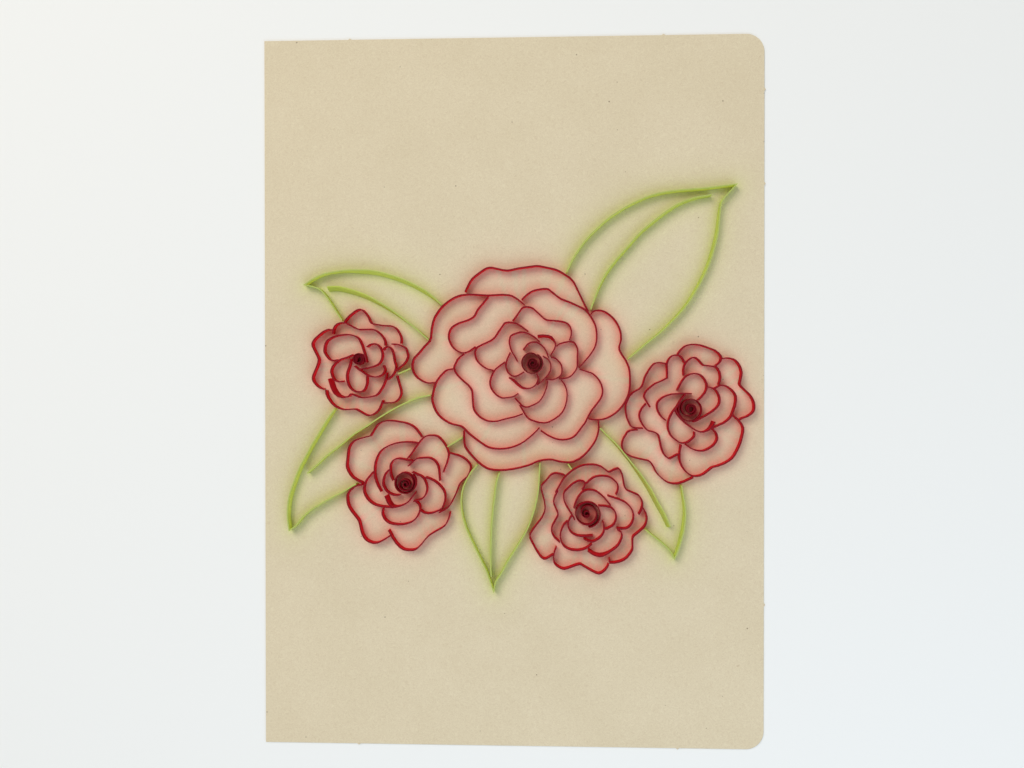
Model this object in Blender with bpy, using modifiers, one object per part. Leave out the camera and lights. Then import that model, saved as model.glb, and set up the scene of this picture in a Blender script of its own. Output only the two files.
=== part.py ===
"""Quilled paper roses and leaves on a card.

Five roses and five leaves are drawn with narrow paper strips that stand on edge, glued by their foot to
one flat card. A rose is a rolled strip with bent petals around it. A leaf is a strip folded at its tip
with a second strip as its vein. The card lies in XY with its long side along Y, and the origin is at the
centre of its underside.

Every strip is given by the few points that its foot passes through, in millimetres from the card's
centre. The strips are laid one after another, as they are glued: an end that runs into a strip already
laid is cut off at it, and a strip that runs along another is eased off it by a thickness of paper.
"""

import math
from typing import NamedTuple

import bmesh
import bpy
import numpy as np

# Card, in metres
CARD_WIDTH = 0.148
CARD_LENGTH = 0.210
CARD_THICKNESS = 0.00045
CORNER_RADIUS = 0.0053
CORNER_SEGMENTS = 8

# Paper strips, in metres
STRIP_WIDTH = 0.003
STRIP_THICKNESS = 0.00025
GLUE_UNDER_STRIP = 0.0001
GLUE_BETWEEN_STRIPS = 0.00015
COIL_AIR_GAP = 0.00018
MILLIMETRE = 0.001

# How a strip is bent, in metres
FINE_STEP = 0.0002
PETAL_CHORD_ERROR = 0.00005
COIL_CHORD_ERROR = 0.00003
PETAL_SHORTEST_BEND = 0.0004
COIL_SHORTEST_BEND = 0.0002
EASING_ROUNDS = 4
STEPS_PER_TURN = 60

STRIP_FOOT = CARD_THICKNESS + GLUE_UNDER_STRIP
STRIP_SPACING = STRIP_THICKNESS + GLUE_BETWEEN_STRIPS
GLUE_REACH = 2.25 * STRIP_SPACING
TRIM_REACH = 5.0 * STRIP_SPACING

UPRIGHT = ((0.0, 0.0), (1.0, 0.0))
ANTICLOCKWISE = 1
CLOCKWISE = -1


class Coil(NamedTuple):
    """A rose's rolled centre: a loose outer stretch that runs into a tight roll, in millimetres.

    The loose stretch is given by its radius at counts of turns from its outer end. Its middle moves from
    the mouth to the heart as the radius shrinks. The winding is seen from above, from the outer end in.
    """

    node: str
    mouth: tuple
    heart: tuple
    loose_radii: tuple
    heart_radius: float
    start_degrees: float
    winding: int


class Strip(NamedTuple):
    """One bent strip: the node it belongs to, its points, and its lean at shares of its length.

    Strips of the same node are glued into one piece. A point given twice is a sharp fold. A positive
    lean carries the top edge to the left of the strip's run, in millimetres.
    """

    node: str
    points: tuple
    lean: tuple = UPRIGHT


COILS = (
    Coil(
        "big_rose_coil",
        (6.07, 8.75),
        (6.25, 8.65),
        ((0.0, 2.95), (0.2, 3.1), (0.7, 3.1), (0.88, 3.0), (1.0, 2.6), (1.17, 2.15), (1.45, 2.05),
         (1.7, 1.45), (2.0, 1.3), (2.25, 1.3), (2.45, 1.2), (2.7, 0.85)),
        0.5,
        59,
        CLOCKWISE,
    ),
    Coil(
        "left_rose_coil",
        (-45.33, 9.8),
        (-45.1, 9.83),
        ((0.0, 1.85), (0.8, 1.4)),
        0.65,
        20,
        ANTICLOCKWISE,
    ),
    Coil(
        "lower_left_rose_coil",
        (-31.47, -26.65),
        (-31.34, -27.1),
        ((0.0, 3.3), (0.14, 3.1), (0.4, 3.1), (0.65, 3.05), (0.87, 3.1), (1.0, 2.75), (1.15, 2.35),
         (1.39, 2.15), (1.6, 1.95), (1.87, 1.35), (2.1, 1.25), (2.3, 0.9)),
        0.5,
        49,
        CLOCKWISE,
    ),
    Coil(
        "lower_right_rose_coil",
        (22.25, -35.5),
        (21.95, -35.55),
        ((0.0, 4.05), (0.13, 3.95), (0.25, 3.75), (0.5, 3.3), (0.62, 3.4), (0.75, 3.4), (0.88, 3.25),
         (1.0, 3.25), (1.12, 3.0), (1.25, 2.75), (1.37, 2.65), (1.5, 2.4), (1.62, 1.9), (1.75, 1.35),
         (2.0, 1.0)),
        0.5,
        -85,
        ANTICLOCKWISE,
    ),
    Coil(
        "right_rose_coil",
        (52.15, -5.0),
        (52.26, -4.75),
        ((0.0, 3.45), (0.25, 3.35), (0.75, 3.2), (1.0, 2.85), (1.2, 2.35), (1.4, 1.75), (1.6, 1.5),
         (2.0, 1.25)),
        0.7,
        140,
        ANTICLOCKWISE,
    ),
)

BIG_ROSE = (
    Strip(
        "big_rose_petal_01",
        ((-0.8, 4.3), (0.4, 3.4), (1.6, 2.2), (2.8, 1.3), (4.0, 1.1), (5.5, 1.3), (6.7, 1.9), (7.5, 3.0),
         (7.8, 4.3), (7.3, 5.7)),
        ((0.0, 0.2), (0.1, 0.6), (0.35, 0.6), (0.55, 0.0), (1.0, 0.0)),
    ),
    Strip(
        "big_rose_petal_02",
        ((9.2, 10.7), (10.6, 9.9), (11.4, 8.6), (11.5, 7.0), (10.8, 5.4), (9.5, 3.9), (8.2, 2.8),
         (7.4, 2.4)),
    ),
    Strip(
        "big_rose_petal_03",
        ((3.4, 12.6), (4.3, 13.8), (5.2, 14.6), (6.9, 14.9), (8.1, 14.4), (9.3, 13.5), (10.2, 12.1),
         (10.8, 10.3)),
    ),
    Strip(
        "big_rose_petal_04",
        ((1.7, 9.2), (0.9, 10.7), (0.1, 11.9), (-0.5, 13.6), (-0.7, 15.2), (-0.2, 16.7), (1.2, 17.4),
         (2.8, 17.8), (4.5, 17.5), (6.2, 16.7), (7.4, 15.8), (8.2, 14.9)),
    ),
    Strip(
        "big_rose_petal_05",
        ((-0.4, 11.8), (-1.1, 10.4), (-1.6, 9.0), (-1.7, 7.6), (-1.2, 6.1), (-0.3, 5.2), (0.9, 4.8),
         (2.4, 5.3), (3.6, 6.1)),
    ),
    Strip(
        "big_rose_petal_06",
        ((7.7, 16.3), (9.3, 16.4), (11.0, 16.2), (12.2, 15.4), (12.9, 14.3), (12.7, 13.1), (12.0, 11.9),
         (11.4, 10.9)),
        ((0.0, 0.5), (0.4, 0.5), (0.6, 0.0), (1.0, 0.0)),
    ),
    Strip(
        "big_rose_petal_07",
        ((11.6, 10.3), (12.4, 10.3), (13.6, 9.5), (14.5, 8.3), (14.8, 6.6), (14.5, 5.2), (13.4, 4.3),
         (12.2, 3.8), (10.9, 3.8), (10.0, 3.8)),
    ),
    Strip(
        "big_rose_petal_08",
        ((-2.0, 9.0), (-3.4, 8.0), (-4.8, 6.8), (-5.8, 5.2), (-6.4, 3.2), (-6.2, 1.6), (-5.3, 0.1),
         (-4.1, -1.0), (-2.7, -1.6), (-1.0, -1.4), (0.4, -1.2), (1.9, -0.3)),
    ),
    Strip(
        "big_rose_petal_09",
        ((10.6, 3.3), (10.4, 2.0), (9.9, 0.4), (9.1, -1.3), (7.9, -2.8), (6.2, -3.7), (4.6, -4.3),
         (3.3, -4.0), (2.1, -2.9), (1.0, -1.7)),
    ),
    Strip(
        "big_rose_petal_10",
        ((13.2, 13.6), (14.1, 14.3), (15.6, 14.8), (17.0, 15.0), (18.2, 14.8), (19.0, 13.8), (19.4, 12.6),
         (19.3, 10.7), (19.3, 8.8), (19.2, 7.3), (18.4, 5.9), (17.2, 4.7), (15.8, 4.2), (13.9, 4.0)),
    ),
    Strip(
        "big_rose_petal_11",
        ((14.6, 3.7), (15.3, 2.8), (16.0, 1.3), (16.3, -0.4), (16.2, -2.3), (15.6, -4.4), (14.4, -6.4),
         (12.4, -7.9), (10.5, -8.8), (8.6, -8.9), (6.7, -8.4), (5.0, -7.7), (3.8, -6.2), (3.1, -4.9),
         (2.4, -3.7)),
    ),
    Strip(
        "big_rose_petal_12",
        ((4.8, 18.1), (3.6, 19.0), (2.1, 20.0), (0.4, 20.6), (-1.0, 20.7), (-2.1, 20.4), (-2.9, 19.3),
         (-3.9, 17.9), (-4.8, 16.4), (-6.3, 15.2), (-8.2, 14.3), (-9.9, 13.5), (-10.7, 12.6), (-10.8, 11.4),
         (-10.4, 9.7), (-9.2, 8.3), (-7.5, 7.1), (-5.5, 6.6)),
    ),
    Strip(
        "big_rose_petal_13",
        ((0.3, 21.1), (1.2, 22.2), (2.4, 23.9), (3.3, 25.0), (4.8, 25.2), (6.2, 24.8), (7.6, 23.6),
         (9.1, 22.2), (10.0, 21.4), (11.7, 21.2), (13.9, 21.0), (15.8, 20.6), (16.9, 19.8), (17.5, 18.4),
         (17.5, 16.9), (17.0, 15.5)),
    ),
    Strip(
        "big_rose_petal_14",
        ((3.7, 25.9), (2.4, 27.0), (0.2, 28.4), (-2.0, 28.8), (-4.7, 28.7), (-6.9, 28.6), (-10.0, 28.8),
         (-12.6, 28.9), (-15.2, 28.6), (-17.4, 27.7), (-19.9, 25.9), (-21.6, 24.0), (-22.9, 21.8),
         (-23.6, 19.1), (-24.1, 15.5), (-25.8, 13.6), (-27.3, 11.8), (-28.8, 10.2), (-29.4, 8.3),
         (-29.1, 6.1), (-28.0, 4.5), (-26.2, 3.3), (-24.5, 2.8), (-22.9, 3.0)),
    ),
    Strip(
        "big_rose_petal_15",
        ((-6.9, 28.1), (-8.2, 26.6), (-10.0, 24.4), (-11.1, 22.4), (-13.0, 21.3), (-15.7, 20.4),
         (-17.7, 19.1), (-18.5, 17.4), (-18.5, 15.6), (-17.4, 13.4), (-15.7, 12.1), (-13.9, 11.7),
         (-12.3, 12.3), (-10.7, 13.5)),
    ),
    Strip(
        "big_rose_petal_16",
        ((-14.1, 11.3), (-15.5, 10.3), (-16.5, 8.8), (-17.0, 7.2), (-16.3, 5.5), (-14.4, 3.5), (-12.6, 2.0),
         (-11.7, 0.4), (-11.5, -2.4), (-11.1, -5.1), (-9.5, -7.1), (-7.3, -8.3), (-4.7, -8.5),
         (-1.6, -7.7), (1.0, -7.1), (3.2, -6.3)),
    ),
    Strip(
        "big_rose_petal_17",
        ((3.0, 27.3), (4.1, 28.4), (5.9, 29.7), (8.1, 30.3), (10.7, 30.4), (12.5, 29.0), (14.5, 27.5),
         (16.9, 26.6), (19.5, 25.4), (21.7, 24.2), (23.3, 22.2), (24.6, 19.6), (25.0, 16.5), (24.6, 13.8),
         (23.3, 11.4), (21.3, 9.0), (19.8, 7.3)),
    ),
    Strip(
        "big_rose_petal_18",
        ((20.1, 6.8), (21.7, 6.3), (23.9, 5.5), (25.9, 3.3), (26.7, 0.6), (26.2, -1.6), (24.8, -3.5),
         (23.3, -5.5), (22.4, -7.1), (21.7, -8.6), (20.0, -11.0), (18.2, -13.0), (16.0, -13.8),
         (13.4, -13.7), (10.7, -12.6), (8.6, -11.2)),
    ),
    Strip(
        "big_rose_petal_19",
        ((-17.4, 7.0), (-19.2, 6.6), (-20.7, 5.3), (-22.3, 3.1), (-23.2, 0.2), (-23.5, -2.4), (-22.3, -5.7),
         (-20.5, -7.7), (-17.9, -9.2), (-14.8, -10.0), (-12.6, -12.1), (-9.5, -14.5), (-6.9, -16.1),
         (-3.8, -16.6), (-0.7, -16.3), (2.4, -15.2), (5.0, -13.4), (7.0, -11.6), (8.1, -10.4)),
    ),
    Strip(
        "big_rose_petal_20",
        ((-13.7, 29.7), (-13.0, 31.2), (-11.7, 33.4), (-9.5, 35.2), (-7.5, 36.5), (-6.0, 36.8),
         (-3.8, 36.3), (-1.2, 35.9), (1.9, 36.5), (5.0, 36.9), (7.6, 37.2), (10.3, 36.7), (12.9, 36.1),
         (15.3, 34.9), (17.8, 33.0), (19.3, 30.3), (20.6, 27.5), (21.9, 24.9), (22.5, 23.9)),
    ),
    Strip(
        "big_rose_petal_21",
        ((23.4, 23.1), (24.1, 23.9), (26.1, 24.1), (28.3, 23.1), (30.5, 20.9), (31.8, 18.2), (32.1, 15.6),
         (31.5, 13.0), (32.3, 11.2), (33.6, 9.2), (34.5, 6.8), (34.7, 2.4), (34.2, -0.7), (32.8, -3.5),
         (30.5, -6.0), (27.9, -7.5), (25.5, -8.0), (22.7, -7.8)),
    ),
    Strip(
        "big_rose_petal_22",
        ((-14.1, -11.3), (-14.1, -13.4), (-13.7, -16.1), (-11.9, -18.5), (-9.5, -20.9), (-6.9, -22.5),
         (-3.4, -22.9), (0.6, -22.5), (5.0, -21.4), (8.1, -20.1), (11.6, -19.7), (14.2, -20.3),
         (17.3, -20.5), (20.0, -19.4), (22.6, -17.0), (24.6, -14.1), (25.5, -11.2), (25.5, -8.4)),
    ),
)

LEFT_ROSE = (
    Strip(
        "left_rose_petals_1",
        ((-47.0, 11.2), (-48.8, 10.4), (-50.5, 9.9), (-51.9, 9.0), (-53.0, 7.8), (-53.5, 6.4), (-53.2, 4.9),
         (-52.5, 3.7), (-51.4, 3.2), (-49.9, 3.4)),
    ),
    Strip(
        "left_rose_petals_2",
        ((-46.5, 7.8), (-45.2, 6.8), (-43.8, 5.9), (-42.6, 5.1), (-40.6, 4.6), (-39.0, 4.9), (-38.0, 5.6),
         (-37.5, 6.8), (-37.9, 8.0)),
    ),
    Strip(
        "left_rose_petals_1",
        ((-42.9, 9.0), (-43.2, 10.4), (-43.8, 12.4), (-44.4, 14.3), (-45.3, 16.0), (-46.6, 16.8),
         (-48.3, 17.2), (-50.0, 17.1), (-51.9, 16.8), (-53.8, 16.0), (-54.9, 15.0), (-55.4, 13.6),
         (-55.5, 12.1), (-54.9, 10.9), (-53.8, 9.7), (-52.6, 9.5), (-51.7, 9.7)),
    ),
    Strip(
        "left_rose_petals_2",
        ((-47.6, 9.9), (-47.8, 8.5), (-48.4, 6.8), (-48.8, 5.4), (-48.7, 3.5), (-48.1, 1.8), (-47.1, 0.7),
         (-45.7, 0.2), (-44.2, 0.4), (-43.4, 1.1), (-42.9, 2.5), (-42.8, 3.8), (-42.8, 4.7)),
    ),
    Strip(
        "left_rose_petals_2",
        ((-42.8, 13.5), (-41.6, 14.3), (-40.2, 14.4), (-39.2, 13.7), (-38.5, 12.6), (-38.2, 11.2),
         (-38.5, 9.7), (-39.2, 8.6), (-40.4, 7.9), (-42.6, 7.3), (-44.6, 7.0)),
    ),
    Strip(
        "left_rose_petals_3",
        ((-47.7, -0.4), (-46.4, -0.8), (-45.0, -1.4), (-43.3, -1.5), (-41.6, -1.2), (-39.9, -0.7),
         (-39.0, 0.4), (-38.0, 2.0), (-37.3, 3.7), (-36.9, 5.9)),
    ),
    Strip(
        "left_rose_petals_3",
        ((-38.0, 12.6), (-37.6, 13.2), (-36.7, 13.6), (-35.6, 13.0), (-35.0, 11.6), (-34.7, 9.6),
         (-34.2, 7.8), (-34.6, 6.1), (-35.6, 4.7), (-36.7, 3.8)),
    ),
    Strip(
        "left_rose_petals_3",
        ((-53.4, 4.3), (-53.0, 2.8), (-52.5, 1.4), (-51.8, 0.1), (-51.0, -0.8), (-49.9, -1.3),
         (-48.8, -1.3), (-48.1, -1.0)),
        ((0.0, -0.9), (0.5, -0.8), (0.8, 0.0), (1.0, 0.0)),
    ),
    Strip(
        "left_rose_petals_3",
        ((-35.4, 14.3), (-33.9, 14.3), (-32.5, 13.8), (-31.3, 13.1), (-30.8, 11.6), (-30.7, 10.2),
         (-31.8, 8.5), (-33.2, 7.3), (-34.0, 6.5)),
    ),
    Strip(
        "left_rose_petals_4",
        ((-52.9, 17.4), (-52.8, 18.6), (-52.2, 19.8), (-51.2, 20.5), (-50.0, 20.7), (-48.8, 20.4),
         (-46.9, 19.4), (-45.3, 18.7), (-43.3, 18.7), (-41.1, 18.7), (-39.9, 18.2), (-38.7, 17.2),
         (-37.8, 16.0), (-37.4, 14.9), (-37.4, 13.9)),
    ),
    Strip(
        "left_rose_petals_4",
        ((-53.4, 18.6), (-54.1, 18.7), (-55.5, 18.2), (-57.2, 16.9), (-58.6, 15.5), (-59.1, 14.2),
         (-58.5, 12.6), (-57.6, 10.9), (-57.2, 9.7), (-57.6, 8.0), (-58.3, 6.4), (-58.9, 4.9),
         (-58.9, 3.7), (-58.0, 2.3), (-56.7, 1.3), (-55.6, 1.0)),
    ),
    Strip(
        "left_rose_petals_4",
        ((-49.3, 21.2), (-48.3, 22.4), (-46.9, 23.6), (-45.4, 24.5), (-44.2, 24.5), (-43.3, 23.6),
         (-42.3, 22.2), (-41.5, 20.5), (-40.2, 20.2), (-37.8, 19.8), (-35.6, 19.7), (-34.2, 19.0),
         (-33.2, 17.6), (-32.6, 16.0), (-32.7, 14.5)),
    ),
    Strip(
        "left_rose_petals_5",
        ((-55.0, 0.7), (-54.9, -0.4), (-54.3, -1.8), (-53.1, -3.4), (-51.7, -4.4), (-50.0, -5.0),
         (-48.1, -5.0), (-46.4, -4.9), (-45.0, -5.5), (-43.3, -6.5), (-42.0, -6.8), (-40.4, -6.1),
         (-39.2, -4.9), (-38.6, -3.5), (-38.1, -2.3)),
    ),
    Strip(
        "left_rose_petals_5",
        ((-33.9, 4.9), (-33.4, 3.0), (-32.8, 1.1), (-32.7, -0.4), (-33.4, -1.9), (-34.8, -2.9),
         (-36.6, -3.0), (-38.0, -3.1)),
    ),
)

LOWER_LEFT_ROSE = (
    Strip(
        "lower_left_rose_petals_1",
        ((-29.4, -23.5), (-27.7, -24.2), (-26.2, -25.1), (-25.3, -26.8), (-25.0, -28.3), (-25.4, -30.0),
         (-26.4, -31.3), (-27.7, -31.8), (-29.0, -32.1)),
    ),
    Strip(
        "lower_left_rose_petals_3",
        ((-28.4, -29.5), (-29.5, -30.9), (-30.5, -32.2), (-31.8, -33.1), (-33.3, -33.6), (-35.0, -33.5),
         (-36.1, -32.1), (-36.8, -30.3)),
        ((0.0, 0.0), (0.55, 0.0), (0.8, 0.7), (1.0, 0.7)),
    ),
    Strip(
        "lower_left_rose_petals_2",
        ((-30.6, -21.7), (-29.2, -20.4), (-28.0, -19.5), (-26.2, -19.3), (-24.2, -19.3), (-22.6, -20.2),
         (-21.7, -21.7), (-21.4, -23.7), (-21.2, -26.0)),
    ),
    Strip(
        "lower_left_rose_petals_2",
        ((-35.1, -26.0), (-35.7, -24.5), (-35.9, -22.7), (-35.8, -21.2), (-35.0, -20.0), (-33.8, -19.5),
         (-32.3, -19.6), (-30.7, -20.0), (-29.6, -20.1)),
    ),
    Strip(
        "lower_left_rose_petals_2",
        ((-33.2, -30.3), (-34.8, -30.3), (-36.6, -29.5), (-37.6, -28.3), (-38.1, -26.8), (-37.8, -25.0),
         (-37.2, -23.7), (-36.4, -22.9)),
    ),
    Strip(
        "lower_left_rose_petals_4",
        ((-30.8, -19.4), (-29.7, -18.1), (-28.7, -16.6), (-27.4, -14.8), (-26.4, -13.6), (-25.2, -12.8),
         (-23.6, -12.6), (-22.1, -12.8), (-20.9, -13.7), (-19.6, -15.4), (-18.8, -17.1), (-18.6, -18.6),
         (-19.0, -20.2), (-19.5, -21.7), (-20.2, -23.5)),
    ),
    Strip(
        "lower_left_rose_petals_4",
        ((-38.6, -29.3), (-39.6, -27.5), (-40.4, -25.2), (-40.6, -23.0), (-40.4, -20.9), (-39.6, -18.6),
         (-38.6, -17.1), (-36.8, -15.9), (-34.8, -15.1), (-32.8, -14.7), (-30.5, -14.6), (-29.0, -14.7),
         (-28.0, -14.9)),
    ),
    Strip(
        "lower_left_rose_petals_3",
        ((-41.0, -23.4), (-42.1, -24.7), (-43.2, -26.2), (-43.8, -28.3), (-43.4, -30.3), (-42.1, -32.1),
         (-40.4, -33.2), (-38.3, -33.7), (-36.3, -33.9), (-35.0, -34.0)),
    ),
    Strip(
        "lower_left_rose_petals_1",
        ((-28.2, -32.3), (-27.3, -33.1), (-27.1, -34.4), (-27.6, -36.1), (-28.7, -37.6), (-30.2, -38.5),
         (-32.3, -39.0), (-34.3, -39.0), (-36.3, -38.5), (-37.6, -37.4), (-38.3, -35.9), (-38.2, -34.9),
         (-38.1, -34.3)),
    ),
    Strip(
        "lower_left_rose_petals_1",
        ((-25.4, -25.0), (-24.2, -25.4), (-22.6, -26.2), (-21.1, -27.5), (-20.0, -29.0), (-19.6, -30.8),
         (-20.0, -32.8), (-20.9, -34.4), (-22.4, -35.2), (-24.2, -35.7), (-25.9, -35.5), (-26.8, -34.9)),
    ),
    Strip(
        "lower_left_rose_petals_4",
        ((-18.1, -17.9), (-16.4, -18.3), (-14.8, -18.9), (-13.2, -20.0), (-12.1, -21.6), (-12.3, -23.1),
         (-13.2, -24.9), (-14.1, -25.6), (-15.4, -27.0), (-16.1, -29.0), (-17.1, -31.1), (-18.3, -33.3),
         (-19.6, -34.5), (-21.4, -35.4)),
    ),
    Strip(
        "lower_left_rose_petals_5",
        ((-44.3, -26.6), (-45.7, -26.0), (-47.2, -25.0), (-48.3, -23.5), (-48.9, -21.7), (-48.7, -19.7),
         (-48.5, -17.6), (-48.1, -15.9), (-47.0, -14.5), (-44.9, -13.6), (-42.9, -13.1), (-41.6, -12.6),
         (-40.7, -11.0), (-39.6, -9.4), (-37.8, -8.5), (-35.6, -8.3), (-33.3, -8.6), (-31.2, -9.0),
         (-29.2, -9.9), (-28.0, -11.0), (-27.0, -12.4), (-26.5, -13.1)),
    ),
    Strip(
        "lower_left_rose_petals_5",
        ((-36.4, -40.7), (-35.2, -43.0), (-33.7, -45.1), (-32.1, -46.3), (-30.2, -46.6), (-28.3, -46.3),
         (-26.6, -44.7), (-24.9, -42.6), (-23.1, -41.3), (-21.4, -40.4), (-19.7, -39.2), (-18.6, -37.1),
         (-18.2, -35.4)),
    ),
    Strip(
        "lower_left_rose_petals_5",
        ((-44.4, -27.3), (-45.9, -27.6), (-47.7, -28.8), (-48.7, -30.3), (-48.7, -32.3), (-48.1, -34.1),
         (-46.7, -36.1), (-45.3, -37.9), (-44.8, -39.9), (-44.2, -42.0), (-43.2, -43.5), (-41.6, -44.4),
         (-39.9, -44.5), (-38.1, -43.7), (-36.0, -42.4)),
    ),
)

LOWER_RIGHT_ROSE = (
    Strip(
        "lower_right_rose_petals_2",
        ((26.8, -37.8), (27.1, -39.3), (27.1, -40.6), (26.3, -42.1), (25.0, -43.2), (23.8, -43.7),
         (22.5, -43.5), (21.2, -42.9)),
    ),
    Strip(
        "lower_right_rose_petals_2",
        ((25.4, -33.2), (26.8, -33.2), (28.6, -33.5), (29.9, -34.3), (30.6, -35.7), (30.5, -37.5),
         (29.6, -39.0), (27.8, -40.0)),
    ),
    Strip(
        "lower_right_rose_petals_2",
        ((18.3, -33.9), (18.8, -32.2), (19.7, -30.4), (21.0, -29.0), (22.8, -28.5), (24.5, -28.8),
         (26.1, -29.8), (27.6, -31.3), (28.9, -32.9)),
    ),
    Strip(
        "lower_right_rose_petals_1",
        ((18.5, -37.3), (17.4, -35.4), (15.9, -33.0), (15.3, -31.2), (15.4, -29.4), (16.7, -27.9),
         (18.2, -26.6), (19.7, -25.9), (21.0, -26.0), (21.6, -26.7), (21.3, -27.7), (20.7, -28.5)),
    ),
    Strip(
        "lower_right_rose_petals_1",
        ((17.5, -36.4), (17.0, -37.1), (16.7, -37.9), (16.6, -39.3), (17.2, -40.7), (18.5, -41.7),
         (20.2, -42.1), (22.0, -42.1), (23.8, -41.9)),
    ),
    Strip(
        "lower_right_rose_petals_1",
        ((22.1, -26.5), (23.0, -25.6), (24.5, -24.7), (26.6, -24.4), (28.6, -24.7), (30.1, -25.7),
         (31.1, -26.9), (31.1, -28.6), (30.6, -29.9)),
    ),
    Strip(
        "lower_right_rose_petals_1",
        ((16.2, -37.9), (15.2, -39.0), (14.4, -41.1), (14.3, -42.8), (15.2, -44.9), (16.7, -45.9),
         (18.7, -46.3), (20.7, -46.1), (22.3, -45.4), (23.5, -44.4)),
    ),
    Strip(
        "lower_right_rose_petals_3",
        ((28.2, -30.2), (29.6, -30.7), (31.6, -31.3), (33.4, -32.2), (34.9, -33.7), (35.7, -35.5),
         (35.6, -37.3), (34.7, -39.0), (33.4, -39.8), (30.9, -39.7)),
    ),
    Strip(
        "lower_right_rose_petals_3",
        ((31.1, -40.2), (31.9, -40.7), (32.4, -41.8), (32.0, -43.3), (31.1, -44.9), (29.6, -46.1),
         (27.8, -47.1), (25.8, -47.5), (24.0, -47.0), (22.6, -46.0)),
        ((0.0, 0.0), (0.55, 0.0), (0.75, 0.5), (1.0, 0.5)),
    ),
    Strip(
        "lower_right_rose_petals_4",
        ((12.9, -29.3), (14.5, -26.6), (15.4, -25.1), (16.9, -23.6), (18.7, -22.3), (20.7, -21.4),
         (22.8, -21.1), (24.8, -21.2), (26.3, -21.7), (27.6, -22.7), (28.6, -23.3), (29.9, -22.6),
         (31.4, -22.2), (32.1, -23.2), (32.6, -24.8), (32.9, -26.9), (33.5, -28.3), (35.2, -29.2),
         (37.0, -29.9), (38.0, -31.2), (38.3, -32.7), (38.0, -34.2), (37.2, -35.6)),
    ),
    Strip(
        "lower_right_rose_petals_4",
        ((14.1, -43.9), (12.4, -42.3), (11.7, -40.6), (12.0, -39.0), (12.9, -37.3), (13.6, -36.0),
         (13.4, -35.0), (12.8, -33.7), (12.3, -32.2), (12.7, -30.5), (13.5, -29.0)),
    ),
    Strip(
        "lower_right_rose_petals_4",
        ((38.6, -34.0), (39.3, -35.2), (39.6, -37.0), (39.0, -39.0), (37.2, -40.8), (35.6, -42.2),
         (35.4, -44.1), (35.4, -45.9), (34.4, -47.6), (32.9, -49.0), (30.6, -49.8), (28.7, -49.9),
         (28.7, -49.9), (28.7, -48.7)),
    ),
    Strip(
        "lower_right_rose_petals_5",
        ((13.1, -45.4), (12.5, -46.9), (12.3, -48.7), (12.6, -50.2), (13.9, -51.3), (15.4, -51.8),
         (17.2, -51.3), (19.0, -50.6), (20.2, -50.4), (21.8, -51.3), (23.5, -52.3), (25.6, -53.1),
         (27.1, -52.3), (28.1, -51.1), (28.4, -50.3)),
    ),
    Strip(
        "lower_right_rose_petals_5",
        ((15.5, -24.2), (13.9, -23.8), (12.6, -23.7), (11.4, -24.3), (10.1, -25.9), (8.7, -27.6),
         (9.0, -29.7), (9.6, -31.9), (9.8, -34.2), (9.2, -36.2), (7.6, -38.5), (6.0, -40.6), (5.3, -42.3),
         (6.3, -44.6), (7.6, -46.9), (8.6, -48.3), (9.7, -48.9), (10.9, -48.4), (12.0, -47.7)),
    ),
)

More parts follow.
